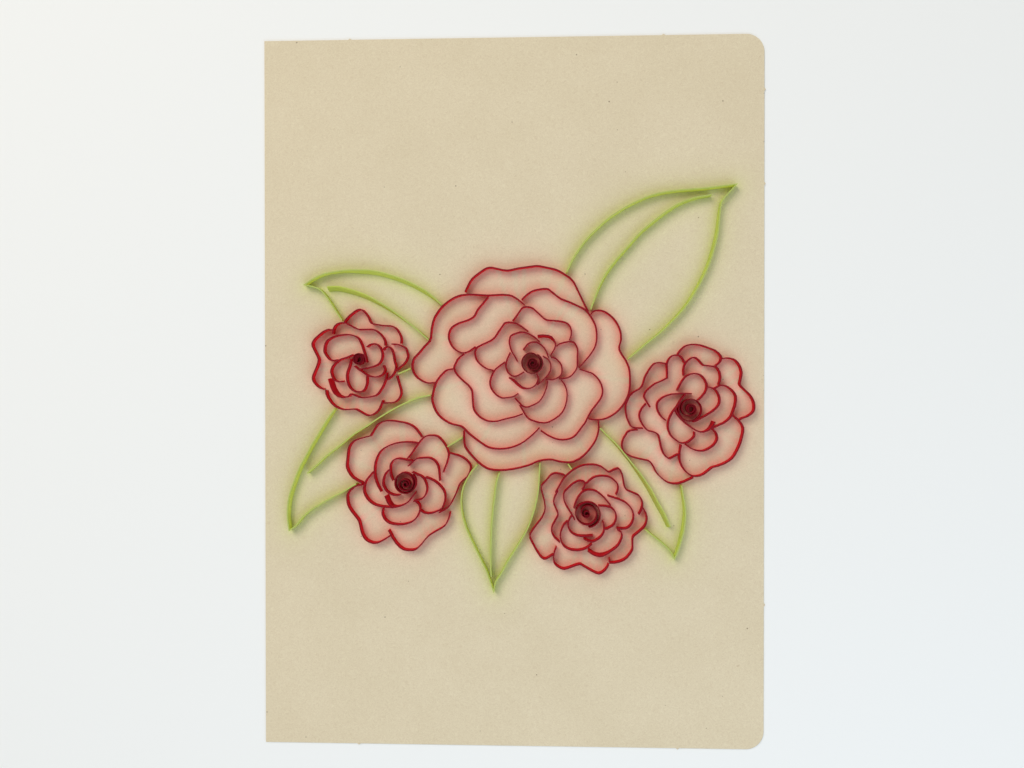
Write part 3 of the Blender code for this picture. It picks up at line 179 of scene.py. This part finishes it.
class PaperGroups:
    """The shared effects of all the papers, built once as node groups.

    Scales and finenesses are shares of the scale that a material asks for. Shifts are in metres.
    """

    FIBRE_SHIFT = 0.004
    FIBRE_BEND_DETAIL = 2.0
    FIBRE_LENGTH = 4.5
    FIBRE_FINENESS = 3.0
    FIBRE_DETAIL = 6.0
    CLOUD_FINENESS = 0.12
    CLOUD_DETAIL = 3.0
    SMALLEST_SPECK = 0.03
    SPECK_SPREAD = 0.075
    HAIR_SHIFT = 0.003
    HAIR_BEND_DETAIL = 1.0
    HAIR_LIES = ((0.5, 8.0), (2.1, 10.0))
    HAIR_FINENESS = 0.55
    HAIR_SHARE = 0.35
    HAIR_WIDTH = 0.3

    def __init__(self) -> None:
        """Builds the groups."""
        self.fibres = self.build_fibres()
        self.flecks = self.build_flecks()

    @staticmethod
    def new_group(name: str, inputs: dict[str, str], outputs: dict[str, str]) -> bpy.types.NodeTree:
        """Makes an empty node group.

        Args:
            name: The group's name.
            inputs: Input names, each with its socket type.
            outputs: Output names, each with its socket type.

        Returns:
            The group.
        """
        group = bpy.data.node_groups.new(name, "ShaderNodeTree")
        for label, kind in inputs.items():
            group.interface.new_socket(label, in_out="INPUT", socket_type=kind)
        for label, kind in outputs.items():
            group.interface.new_socket(label, in_out="OUTPUT", socket_type=kind)
        return group

    @staticmethod
    def bend(nodes: Nodes, place: Any, scale: Any, detail: float, shift: float) -> bpy.types.NodeSocket:
        """Shifts a place by noise, so that what is laid on it runs in bends.

        Args:
            nodes: The helper of the group.
            place: The place.
            scale: The noise's scale.
            detail: The noise's detail.
            shift: How far the noise shifts the place.

        Returns:
            The shifted place.
        """
        noise = nodes.add("ShaderNodeTexNoise", {"Vector": place, "Scale": scale, "Detail": detail})
        links = {0: noise.outputs["Color"], "Scale": shift}
        step = nodes.add("ShaderNodeVectorMath", links, operation="SCALE").outputs[0]
        return nodes.add("ShaderNodeVectorMath", {0: place, 1: step}, operation="ADD").outputs[0]

    def build_fibres(self) -> bpy.types.NodeTree:
        """Builds the felted look of pulp: matted fibres and a soft cloudiness.

        Returns:
            A group that reads a place and puts out two masks, of fibres and of clouds.
        """
        group = self.new_group(
            "Paper fibres",
            {"Place": "NodeSocketVector", "Scale": "NodeSocketFloat"},
            {"Fibres": "NodeSocketFloat", "Clouds": "NodeSocketFloat"},
        )
        nodes = Nodes(group)
        inside = nodes.add("NodeGroupInput")
        place, scale = inside.outputs["Place"], inside.outputs["Scale"]
        bent = self.bend(nodes, place, scale, self.FIBRE_BEND_DETAIL, self.FIBRE_SHIFT)
        fine = nodes.maths("MULTIPLY", scale, self.FIBRE_FINENESS)
        length = self.FIBRE_LENGTH
        mats = []
        for stretch in ((1.0, length, 1.0), (length, 1.0, length)):
            laid = nodes.add("ShaderNodeMapping", {"Vector": bent, "Scale": stretch}).outputs[0]
            links = {"Vector": laid, "Scale": fine, "Detail": self.FIBRE_DETAIL}
            mats.append(nodes.add("ShaderNodeTexNoise", links).outputs[0])
        felt = nodes.maths("MULTIPLY", nodes.maths("ADD", *mats), 1.0 / len(mats))
        coarse = nodes.maths("MULTIPLY", scale, self.CLOUD_FINENESS)
        links = {"Vector": place, "Scale": coarse, "Detail": self.CLOUD_DETAIL}
        clouds = nodes.add("ShaderNodeTexNoise", links)
        nodes.add("NodeGroupOutput", {"Fibres": felt, "Clouds": clouds.outputs[0]})
        return group

    def build_flecks(self) -> bpy.types.NodeTree:
        """Builds the sparse specks and short hairs of recycled pulp.

        Returns:
            A group that reads a place and puts out a mask of specks and one of hairs.
        """
        group = self.new_group(
            "Paper flecks",
            {"Place": "NodeSocketVector", "Scale": "NodeSocketFloat", "Amount": "NodeSocketFloat"},
            {"Specks": "NodeSocketFloat", "Hairs": "NodeSocketFloat"},
        )
        nodes = Nodes(group)
        inside = nodes.add("NodeGroupInput")
        place, scale, amount = (inside.outputs[name] for name in ("Place", "Scale", "Amount"))
        cells = nodes.add("ShaderNodeTexVoronoi", {"Vector": place, "Scale": scale, "Randomness": 1.0})
        chance = nodes.add("ShaderNodeSeparateColor", {"Color": cells.outputs["Color"]})
        chosen = nodes.maths("LESS_THAN", chance.outputs[0], amount)
        size = nodes.maths("MULTIPLY", chance.outputs[1], self.SPECK_SPREAD)
        size = nodes.maths("ADD", size, self.SMALLEST_SPECK)
        near = nodes.maths("LESS_THAN", cells.outputs["Distance"], size)
        specks = nodes.maths("MULTIPLY", near, chosen)
        bent = self.bend(nodes, place, scale, self.HAIR_BEND_DETAIL, self.HAIR_SHIFT)
        sparse = nodes.maths("MULTIPLY", scale, self.HAIR_FINENESS)
        few = nodes.maths("MULTIPLY", amount, self.HAIR_SHARE)
        strands = []
        for turn, stretch in self.HAIR_LIES:
            links = {"Vector": bent, "Rotation": (0.0, 0.0, turn), "Scale": (1.0, stretch, 1.0)}
            laid = nodes.add("ShaderNodeMapping", links)
            threads = nodes.add("ShaderNodeTexVoronoi", {"Vector": laid.outputs[0], "Scale": sparse})
            luck = nodes.add("ShaderNodeSeparateColor", {"Color": threads.outputs["Color"]})
            picked = nodes.maths("LESS_THAN", luck.outputs[2], few)
            thin = nodes.maths("LESS_THAN", threads.outputs["Distance"], self.HAIR_WIDTH)
            strands.append(nodes.maths("MULTIPLY", thin, picked))
        hairs = nodes.maths("MAXIMUM", *strands)
        nodes.add("NodeGroupOutput", {"Specks": specks, "Hairs": hairs})
        return group


@dataclass
class PaperStart:
    """The first nodes of every paper's material: its shader, its places and its pulp."""

    material: bpy.types.Material
    nodes: Nodes
    shader: bpy.types.Node
    place: bpy.types.NodeSocket
    pulp: bpy.types.Node

    @classmethod
    def begin(cls, name: str, groups: PaperGroups, pulp_scale: float) -> "PaperStart":
        """Starts a paper's material.

        Args:
            name: The material's name.
            groups: The shared node groups.
            pulp_scale: The scale of the paper's fibres.

        Returns:
            The material and its first nodes.
        """
        material = bpy.data.materials.new(name)
        material.use_nodes = True
        nodes = Nodes(material.node_tree)
        shader = material.node_tree.nodes["Principled BSDF"]
        place = nodes.add("ShaderNodeTexCoord").outputs["Object"]
        pulp = nodes.add("ShaderNodeGroup", node_tree=groups.fibres)
        nodes.feed(pulp.inputs["Place"], place)
        nodes.feed(pulp.inputs["Scale"], pulp_scale)
        return cls(material, nodes, shader, place, pulp)

    def finish(self, colour: bpy.types.NodeSocket, relief: float, depth: float, roughness: float) -> None:
        """Gives the shader its colour, its felted relief and its roughness.

        Args:
            colour: The paper's colour.
            relief: The strength of the relief.
            depth: The relief's depth.
            roughness: The paper's roughness.
        """
        links = {"Height": self.pulp.outputs["Fibres"], "Strength": relief, "Distance": depth}
        bump = self.nodes.add("ShaderNodeBump", links)
        self.nodes.feed(self.shader.inputs["Base Color"], colour)
        self.nodes.feed(self.shader.inputs["Normal"], bump.outputs[0])
        self.shader.inputs["Roughness"].default_value = roughness


@dataclass(frozen=True)
class CardFinish:
    """Cream recycled card with dark specks and short hairs, with painted reflections of the strips and
    painted shade inside the rolls mixed into its colour.
    """

    base: tuple[float, ...] = (0.690, 0.600, 0.424, 1.0)
    deeper: tuple[float, ...] = (0.664, 0.574, 0.400, 1.0)
    speck: tuple[float, ...] = (0.20, 0.14, 0.09, 1.0)
    hair: tuple[float, ...] = (0.46, 0.34, 0.21, 1.0)
    # Painted reflections of the strips on the card: red beside the roses, green beside the leaves.
    painted_rose_reflection_colour: tuple[float, ...] = (0.94, 0.32, 0.27, 1.0)
    painted_leaf_reflection_colour: tuple[float, ...] = (0.58, 0.64, 0.18, 1.0)
    # Painted shade and red reflection on the card inside the rolls.
    painted_roll_shade: tuple[float, ...] = (0.66, 0.13, 0.11, 1.0)
    roughness: float = 0.9
    relief: float = 0.9
    relief_depth: float = 0.00008
    pulp_scale: float = 420.0
    fleck_scale: float = 420.0
    fleck_amount: float = 0.08
    cloud_range: tuple[float, float] = (0.3, 0.75)
    grain_range: tuple[float, float] = (0.35, 0.68)
    # How much of the painted reflection colour shows where it is strongest.
    painted_reflection_share: float = 0.85
    grain_share: float = 0.42
    hair_share: float = 0.45
    speck_share: float = 0.75

    def material(self, groups: PaperGroups) -> bpy.types.Material:
        """Makes the card's material.

        Args:
            groups: The shared node groups.

        Returns:
            The material.
        """
        start = PaperStart.begin("Cream flecked card", groups, self.pulp_scale)
        nodes = start.nodes
        links = {"Place": start.place, "Scale": self.fleck_scale, "Amount": self.fleck_amount}
        bits = nodes.add("ShaderNodeGroup", node_tree=groups.flecks)
        for name, value in links.items():
            nodes.feed(bits.inputs[name], value)
        cloud = nodes.step(start.pulp.outputs["Clouds"], *self.cloud_range)
        colour = nodes.blend(cloud, self.base, self.deeper)
        # Painted reflections of the red and green strips, mixed in by the card's attributes.
        for cast, tint in ((PaintedLight.GREEN, self.painted_leaf_reflection_colour), (PaintedLight.RED, self.painted_rose_reflection_colour)):
            fall = nodes.add("ShaderNodeAttribute", attribute_name=cast.value).outputs["Fac"]
            colour = nodes.blend(nodes.maths("MULTIPLY", fall, self.painted_reflection_share), colour, tint)
        # Painted shade and red reflection inside the rolls.
        floor = nodes.add("ShaderNodeAttribute", attribute_name=PaintedLight.ROLL.value).outputs["Fac"]
        colour = nodes.blend(floor, colour, self.painted_roll_shade)
        grain = nodes.step(start.pulp.outputs["Fibres"], *self.grain_range)
        for mask, share, shade in (
            (grain, self.grain_share, self.hair),
            (bits.outputs["Hairs"], self.hair_share, self.hair),
            (bits.outputs["Specks"], self.speck_share, self.speck),
        ):
            colour = nodes.blend(nodes.maths("MULTIPLY", mask, share), colour, shade)
        start.finish(colour, self.relief, self.relief_depth, self.roughness)
        return start.material


@dataclass(frozen=True)
class StripFinish:
    """Dyed paper strip, with its cut edge in another shade than its faces."""

    name: str
    face: tuple[float, ...]
    face_deeper: tuple[float, ...]
    edge: tuple[float, ...]
    glow: tuple[float, ...]
    gloss: float = 0.08
    edge_height: float = 0.00345
    edge_depth: float = 0.00006
    see_through: float = 0.54
    roughness: float = 0.78
    relief: float = 0.25
    relief_depth: float = 0.00005
    pulp_scale: float = 1400.0
    cloud_range: tuple[float, float] = (0.3, 0.7)
    grain_range: tuple[float, float] = (0.3, 0.7)
    grain_share: float = 0.16

    def material(self, groups: PaperGroups) -> bpy.types.Material:
        """Makes the strip's material.

        Args:
            groups: The shared node groups.

        Returns:
            The material.
        """
        start = PaperStart.begin(self.name, groups, self.pulp_scale)
        nodes = start.nodes
        height = nodes.add("ShaderNodeSeparateXYZ", {"Vector": start.place}).outputs[2]
        cloud = nodes.step(start.pulp.outputs["Clouds"], *self.cloud_range)
        colour = nodes.blend(cloud, self.face, self.face_deeper)
        rim = nodes.step(height, self.edge_height - self.edge_depth, self.edge_height)
        colour = nodes.blend(rim, colour, self.edge)
        grain = nodes.step(start.pulp.outputs["Fibres"], *self.grain_range)
        colour = nodes.blend(nodes.maths("MULTIPLY", grain, self.grain_share), colour, self.face_deeper)
        start.finish(colour, self.relief, self.relief_depth, self.roughness)
        start.shader.inputs["Specular IOR Level"].default_value = self.gloss
        glow = nodes.add("ShaderNodeBsdfTranslucent", {"Color": self.glow})
        thin = nodes.maths("MULTIPLY", nodes.maths("SUBTRACT", 1.0, rim), self.see_through)
        links = {0: thin, 1: start.shader.outputs[0], 2: glow.outputs[0]}
        mixed = nodes.add("ShaderNodeMixShader", links)
        nodes.feed(nodes.tree.nodes["Material Output"].inputs["Surface"], mixed.outputs[0])
        return start.material


RED_PAPER = StripFinish(
    name="Red quilling paper",
    face=(0.52, 0.032, 0.048, 1.0),
    face_deeper=(0.44, 0.022, 0.036, 1.0),
    edge=(0.19, 0.008, 0.015, 1.0),
    glow=(0.95, 0.085, 0.095, 1.0),
)
# The petals' red paper painted darker as shade for the packed turns of the rolls; it also lets less light
# through, as layered paper does.
SHADED_ROLL_PAPER = StripFinish(
    name="Rolled red quilling paper, painted darker for shade",
    face=(0.50, 0.014, 0.030, 1.0),
    face_deeper=(0.42, 0.010, 0.024, 1.0),
    edge=(0.13, 0.003, 0.008, 1.0),
    glow=(0.9, 0.04, 0.05, 1.0),
    see_through=0.2,
)
GREEN_PAPER = StripFinish(
    name="Leaf green quilling paper",
    face=(0.58, 0.66, 0.21, 1.0),
    face_deeper=(0.50, 0.58, 0.16, 1.0),
    edge=(0.39, 0.45, 0.12, 1.0),
    glow=(0.84, 0.88, 0.30, 1.0),
)


@dataclass
class CardSheet:
    """The card that everything is glued to, with the strips' reflected colour and the shade inside the
    rolls painted on it as attributes.
    """

    node: str = "card"
    corner_radius: float = 0.0053
    grid_step: float = 0.0006
    edge_softening: float = 0.00006
    edge_segments: int = 2
    rim_angle: float = math.radians(60)
    level_tolerance: float = 0.0001
    # The painted reflection: a bright painted line beside each strip and a wide, faint painted glow,
    # fainter outside the roses.
    near_reach: float = 0.0009
    near_share: float = 0.62
    far_reach: float = 0.0035
    open_share: float = 0.4
    bearings: int = 120
    painted_reflection_limit: float = 0.02
    # How far the painted shade fades in at a roll's rim.
    roll_fade: float = 0.0004
    tie_depth: float = 0.0004
    ties: tuple[tuple[Rim, float], ...] = (
        (Rim.TOP, -0.0484),
        (Rim.TOP, 0.0448),
        (Rim.BOTTOM, -0.0461),
        (Rim.BOTTOM, 0.0489),
        (Rim.RIGHT, 0.0885),
        (Rim.RIGHT, 0.0613),
        (Rim.RIGHT, -0.0621),
    )

    def build(self, material: bpy.types.Material) -> bpy.types.Object:
        """Cuts the card and gives it its finish.

        Args:
            material: The card's material.

        Returns:
            The card.
        """
        low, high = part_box(self.node)
        form = bmesh.new()
        self.lay_grid(form, low, high)
        self.round_right_corners(form, low, high)
        self.leave_ties(form, high)
        self.thicken(form, low, high)
        bmesh.ops.recalc_face_normals(form, faces=form.faces)
        mesh = bpy.data.meshes.new("card_sheet")
        form.to_mesh(mesh)
        form.free()
        mesh.materials.append(material)
        # Paints the red reflection of the roses and the green reflection of the leaves into attributes.
        for cast, word, plants in ((PaintedLight.RED, "rose", ROSES), (PaintedLight.GREEN, "leaf", ())):
            self.paint_strip_reflection(mesh, cast, word, high.z, [self.outline_of(plant) for plant in plants])
        self.paint_shade_in_rolls(mesh)
        card = bpy.data.objects.new("card_sheet", mesh)
        bpy.context.scene.collection.objects.link(card)
        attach(card, BODY)
        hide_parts(self.node)
        log.info("card: %d faces", len(mesh.polygons))
        return card

    def lay_grid(self, form: bmesh.types.BMesh, low: Vector, high: Vector) -> None:
        """Lays the card's face as a fine grid that can hold the painted reflections and shade.

        Args:
            form: The mesh to fill.
            low: The card's lowest corner.
            high: The card's highest corner.
        """
        size = high - low
        columns = round(size.x / self.grid_step)
        rows = round(size.y / self.grid_step)
        bmesh.ops.create_grid(form, x_segments=columns, y_segments=rows, size=0.5)
        bmesh.ops.scale(form, vec=(size.x, size.y, 1.0), verts=form.verts)
        middle = (high + low) / 2
        bmesh.ops.translate(form, vec=(middle.x, middle.y, high.z), verts=form.verts)

    def round_right_corners(self, form: bmesh.types.BMesh, low: Vector, high: Vector) -> None:
        """Draws the grid's two right corners in to quarter circles.

        Args:
            form: The grid.
            low: The card's lowest corner.
            high: The card's highest corner.
        """
        for level, inward in ((high.y, -1.0), (low.y, 1.0)):
            middle = Vector((high.x - self.corner_radius, level + inward * self.corner_radius, high.z))
            for vert in form.verts:
                arm = vert.co - middle
                if arm.x > 0.0 and -inward * arm.y > 0.0:
                    vert.co = middle + arm * (max(arm.x, abs(arm.y)) / arm.length)

    def leave_ties(self, form: bmesh.types.BMesh, high: Vector) -> None:
        """Leaves the small nubs on the card's rim where it was cut free of its sheet.

        Args:
            form: The grid.
            high: The card's highest corner.
        """
        rim = [vert for vert in form.verts if vert.is_boundary]
        for side, along in self.ties:
            outward = Vector(side.value)
            place = Vector((outward.x * high.x, outward.y * high.y)) + along * Vector(map(abs, outward.yx))
            nearest = min(rim, key=lambda vert: (vert.co.xy - place).length)
            nearest.co.xy += outward * self.tie_depth

    def thicken(self, form: bmesh.types.BMesh, low: Vector, high: Vector) -> None:
        """Gives the grid the card's thickness, a plain underside and softened rims.

        Args:
            form: The grid, which becomes the card.
            low: The card's lowest corner.
            high: The card's highest corner; not used.
        """
        underside = list(form.faces)
        bmesh.ops.extrude_face_region(form, geom=underside, use_keep_orig=True)
        for vert in {vert for face in underside for vert in face.verts}:
            vert.co.z = low.z
        bmesh.ops.dissolve_faces(form, faces=underside, use_verts=False)
        rims = [edge for edge in form.edges if edge.calc_face_angle(0.0) > self.rim_angle]
        rises = [abs(edge.verts[0].co.z - edge.verts[1].co.z) for edge in rims]
        rims = [edge for edge, rise in zip(rims, rises) if rise < self.level_tolerance]
        bmesh.ops.bevel(
            form,
            geom=rims,
            offset=self.edge_softening,
            segments=self.edge_segments,
            profile=0.5,
            affect="EDGES",
            material=-1,
        )

    def outline_of(self, plant: str) -> tuple[Vector, list[float]]:
        """Measures how far a rose reaches from its middle in every direction.

        Args:
            plant: The rose's name.

        Returns:
            The rose's middle, and its reach at evenly spaced bearings.
        """
        names = [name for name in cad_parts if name.startswith(plant + "_")]
        places = [vert.co.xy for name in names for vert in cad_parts[name].data.vertices]
        middle = sum(places, Vector((0.0, 0.0))) / len(places)
        reaches = [0.0] * self.bearings
        for place in places:
            bearing = self.bearing_of(place - middle)
            reaches[bearing] = max(reaches[bearing], (place - middle).length)
        return middle, reaches

    def bearing_of(self, arm: Vector) -> int:
        """Gives the number of the bearing that an arm points along."""
        return int(math.atan2(arm.y, arm.x) / math.tau * self.bearings) % self.bearings

    def paint_strip_reflection(
        self,
        mesh: bpy.types.Mesh,
        cast: PaintedLight,
        word: str,
        face_height: float,
        outlines: list[tuple[Vector, list[float]]],
    ) -> None:
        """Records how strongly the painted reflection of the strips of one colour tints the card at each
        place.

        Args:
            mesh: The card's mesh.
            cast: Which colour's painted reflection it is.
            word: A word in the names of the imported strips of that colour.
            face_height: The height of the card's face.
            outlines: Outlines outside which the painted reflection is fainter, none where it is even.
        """
        walls = bmesh.new()
        for name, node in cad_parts.items():
            if word in name:
                walls.from_mesh(node.data)
        tree = BVHTree.FromBMesh(walls)
        walls.free()
        strengths = []
        for vert in mesh.vertices:
            away = None
            if vert.co.z > face_height / 2:
                away = tree.find_nearest(vert.co, self.painted_reflection_limit)[3]
            strength = 0.0 if away is None else self.painted_reflection_strength(away)
            arms = [(vert.co.xy - middle, reaches) for middle, reaches in outlines]
            held = any(arm.length < reaches[self.bearing_of(arm)] for arm, reaches in arms)
            strengths.append(strength if held or not outlines else strength * self.open_share)
        layer = mesh.attributes.new(cast.value, "FLOAT", "POINT")
        layer.data.foreach_set("value", strengths)

    def painted_reflection_strength(self, away: float) -> float:
        """Gives the strength of the painted reflection: a bright painted line beside the strip and a wide,
        faint painted glow.

        Args:
            away: The distance from the strip.

        Returns:
            The strength, from 0 to 1.
        """
        near = self.near_share * math.exp(-away / self.near_reach)
        return near + (1.0 - self.near_share) * math.exp(-away / self.far_reach)

    def paint_shade_in_rolls(self, mesh: bpy.types.Mesh) -> None:
        """Marks the places of the card that lie inside a rolled strip, where its colour is painted with
        shade and red reflection.

        Args:
            mesh: The card's mesh.
        """
        rolls = [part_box(name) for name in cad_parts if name.endswith(ROLL_ENDING)]
        discs = [((low + high).xy / 2, min((high - low).xy) / 2) for low, high in rolls]
        inside = []
        for vert in mesh.vertices:
            depth = max(reach - (vert.co.xy - middle).length for middle, reach in discs)
            inside.append(min(max(depth / self.roll_fade, 0.0), 1.0))
        layer = mesh.attributes.new(PaintedLight.ROLL.value, "FLOAT", "POINT")
        layer.data.foreach_set("value", inside)


@dataclass
class StripWork:
    """Strips of one paper that stand glued to the card: a base for the roses and the leaves."""

    name: str
    paper: Paper
    glue_line: float = 0.0006
    glue_filled: float = 0.00005
    merge_distance: float = 0.000002
    sharp_angle: float = math.radians(50)
    pieces: list[bpy.types.Object] = field(default_factory=list)

    def nodes(self) -> list[str]:
        """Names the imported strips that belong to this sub-assembly."""
        return sorted(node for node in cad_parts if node.startswith(self.name + "_"))

    def build(self, material: bpy.types.Material) -> None:
        """Dresses every strip of the sub-assembly.

        Args:
            material: The strips' material.
        """
        card_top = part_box("card")[1].z
        for node in self.nodes():
            self.pieces.append(self.dress(node, card_top, self.material_of(node, material)))
        log.info("%s: %d strips", self.name, len(self.pieces))

    def material_of(self, node: str, material: bpy.types.Material) -> bpy.types.Material:
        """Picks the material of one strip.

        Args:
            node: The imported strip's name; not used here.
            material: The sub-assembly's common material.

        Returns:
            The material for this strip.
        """
        return material

    def dress(self, node: str, card_top: float, material: bpy.types.Material) -> bpy.types.Object:
        """Makes the paper strip that stands for a packed one and reaches down to the card.

        Args:
            node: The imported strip's name.
            card_top: The height of the card's face.
            material: The strip's material.

        Returns:
            The paper strip.
        """
        rolled = node.endswith(ROLL_ENDING)
        form = bmesh.new()
        form.from_mesh(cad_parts[node].data)
        bmesh.ops.remove_doubles(form, verts=form.verts, dist=self.merge_distance)
        bmesh.ops.recalc_face_normals(form, faces=form.faces)
        form.normal_update()
        sideways = [Vector((vert.normal.x, vert.normal.y, 0.0)) for vert in form.verts]
        for vert, way in zip(form.verts, sideways):
            if way.length > self.glue_filled and not rolled:
                vert.co += way.normalized() * self.glue_filled
            if vert.co.z < self.glue_line:
                vert.co.z = card_top
        for face in form.faces:
            face.smooth = True
        for edge in form.edges:
            edge.smooth = edge.calc_face_angle(0.0) < self.sharp_angle
        mesh = bpy.data.meshes.new(node + "_paper")
        form.to_mesh(mesh)
        form.free()
        mesh.materials.clear()
        mesh.materials.append(material)
        strip = bpy.data.objects.new(node + "_paper", mesh)
        bpy.context.scene.collection.objects.link(strip)
        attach(strip, BODY)
        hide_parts(node)
        log.info("%s: %d faces", strip.name, len(mesh.polygons))
        return strip


@dataclass
class Rose(StripWork):
    """A rose: a rolled centre with bent petals around it."""

    paper: Paper = Paper.RED
    rolled: bpy.types.Material | None = None

    def material_of(self, node: str, material: bpy.types.Material) -> bpy.types.Material:
        """Gives the rolled centre its own material, the red paper painted darker as shade."""
        return self.rolled if self.rolled and node.endswith(ROLL_ENDING) else material


@dataclass
class Leaf(StripWork):
    """A leaf: a strip folded at its tip, with a vein."""

    paper: Paper = Paper.GREEN


@dataclass
class PhotoCamera:
    """The camera that looks down at the card as the photograph does."""

    position: tuple[float, float, float] = (0.01143, 0.00442, 0.280)
    turn_degrees: tuple[float, float, float] = (-0.393, 2.337, -0.03)
    focal_pixels: float = 943.9
    image_width: float = 1024.0
    sensor_width: float = 36.0
    near_clip: float = 0.01
    far_clip: float = 20.0

    def build(self) -> bpy.types.Object:
        """Makes the camera and makes it the scene's.

        Returns:
            The camera.
        """
        data = bpy.data.cameras.new("Photo camera")
        data.sensor_width = self.sensor_width
        data.lens = self.focal_pixels / self.image_width * self.sensor_width
        data.clip_start = self.near_clip
        data.clip_end = self.far_clip
        camera = bpy.data.objects.new("Photo camera", data)
        turns = [math.radians(value) for value in self.turn_degrees]
        turned = (
            Matrix.Rotation(turns[2], 4, "Z")
            @ Matrix.Rotation(turns[1], 4, "Y")
            @ Matrix.Rotation(turns[0], 4, "X")
        )
        camera.matrix_world = Matrix.Translation(self.position) @ turned
        bpy.context.scene.collection.objects.link(camera)
        bpy.context.scene.camera = camera
        return camera


@dataclass
class Studio:
    """The pale floor, the soft lamps and the even surround."""

    floor_size: float = 6.0
    floor_colour: tuple[float, ...] = (0.80, 0.80, 0.78, 1.0)
    floor_roughness: float = 0.85
    key_power: float = 8.0
    key_colour: tuple[float, ...] = (1.0, 0.95, 0.86)
    key_size: float = 0.6
    key_place: tuple[float, float, float] = (-0.45, 0.55, 0.95)
    fill_power: float = 2.3
    fill_colour: tuple[float, ...] = (0.62, 0.80, 1.0)
    fill_size: float = 0.6
    fill_place: tuple[float, float, float] = (0.25, -0.45, 0.45)
    surround: float = 0.47
    backdrop: float = 0.92

    def build(self) -> None:
        """Lays the floor, hangs the lamps and lights the surround."""
        self.lay_floor()
        self.hang_lamp("Key lamp", self.key_place, self.key_size, self.key_power, self.key_colour)
        self.hang_lamp("Fill lamp", self.fill_place, self.fill_size, self.fill_power, self.fill_colour)
        self.light_surround()

    def lay_floor(self) -> None:
        """Lays the floor that the card rests on."""
        form = bmesh.new()
        bmesh.ops.create_grid(form, x_segments=1, y_segments=1, size=self.floor_size / 2)
        mesh = bpy.data.meshes.new("floor")
        form.to_mesh(mesh)
        form.free()
        material = bpy.data.materials.new("Pale floor")
        material.use_nodes = True
        shader = material.node_tree.nodes["Principled BSDF"]
        shader.inputs["Base Color"].default_value = self.floor_colour
        shader.inputs["Roughness"].default_value = self.floor_roughness
        mesh.materials.append(material)
        floor = bpy.data.objects.new("floor", mesh)
        bpy.context.scene.collection.objects.link(floor)

    def hang_lamp(
        self,
        name: str,
        place: tuple[float, float, float],
        size: float,
        power: float,
        colour: tuple[float, ...],
    ) -> None:
        """Hangs a soft square lamp that looks at the card.

        Args:
            name: The lamp's name.
            place: Where it hangs.
            size: Its side.
            power: Its power in watts.
            colour: Its light's colour.
        """
        data = bpy.data.lights.new(name, "AREA")
        data.shape = "SQUARE"
        data.size = size
        data.energy = power
        data.color = colour
        lamp = bpy.data.objects.new(name, data)
        way = -Vector(place)
        lamp.matrix_world = Matrix.Translation(place) @ way.to_track_quat("-Z", "Y").to_matrix().to_4x4()
        bpy.context.scene.collection.objects.link(lamp)

    def light_surround(self) -> None:
        """Lights the world evenly, and shows it pale to the camera and in reflections."""
        world = bpy.data.worlds.new("Even surround")
        bpy.context.scene.world = world
        world.use_nodes = True
        nodes = Nodes(world.node_tree)
        backdrop = world.node_tree.nodes["Background"]
        backdrop.inputs["Color"].default_value = (1.0, 1.0, 1.0, 1.0)
        paths = nodes.add("ShaderNodeLightPath").outputs
        seen = nodes.maths("MAXIMUM", paths["Is Camera Ray"], paths["Is Glossy Ray"])
        seen = nodes.maths("MAXIMUM", seen, paths["Is Transmission Ray"])
        links = {"Value": seen, "To Min": self.surround, "To Max": self.backdrop}
        strength = nodes.add("ShaderNodeMapRange", links)
        nodes.tree.links.new(strength.outputs[0], backdrop.inputs["Strength"])


def main() -> None:
    """Builds the card, the roses and the leaves, and sets the stage around them."""
    logging.basicConfig(level=logging.INFO, format="%(name)s %(message)s")
    bpy.context.scene.view_settings.view_transform = "Standard"
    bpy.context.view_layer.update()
    PhotoCamera().build()
    groups = PaperGroups()
    CardSheet().build(CardFinish().material(groups))
    red = RED_PAPER.material(groups)
    rolled = SHADED_ROLL_PAPER.material(groups)
    green = GREEN_PAPER.material(groups)
    for name in ROSES:
        Rose(name, rolled=rolled).build(red)
    for name in LEAVES:
        Leaf(name).build(green)
    Studio().build()


if __name__ == "__main__":
    main()
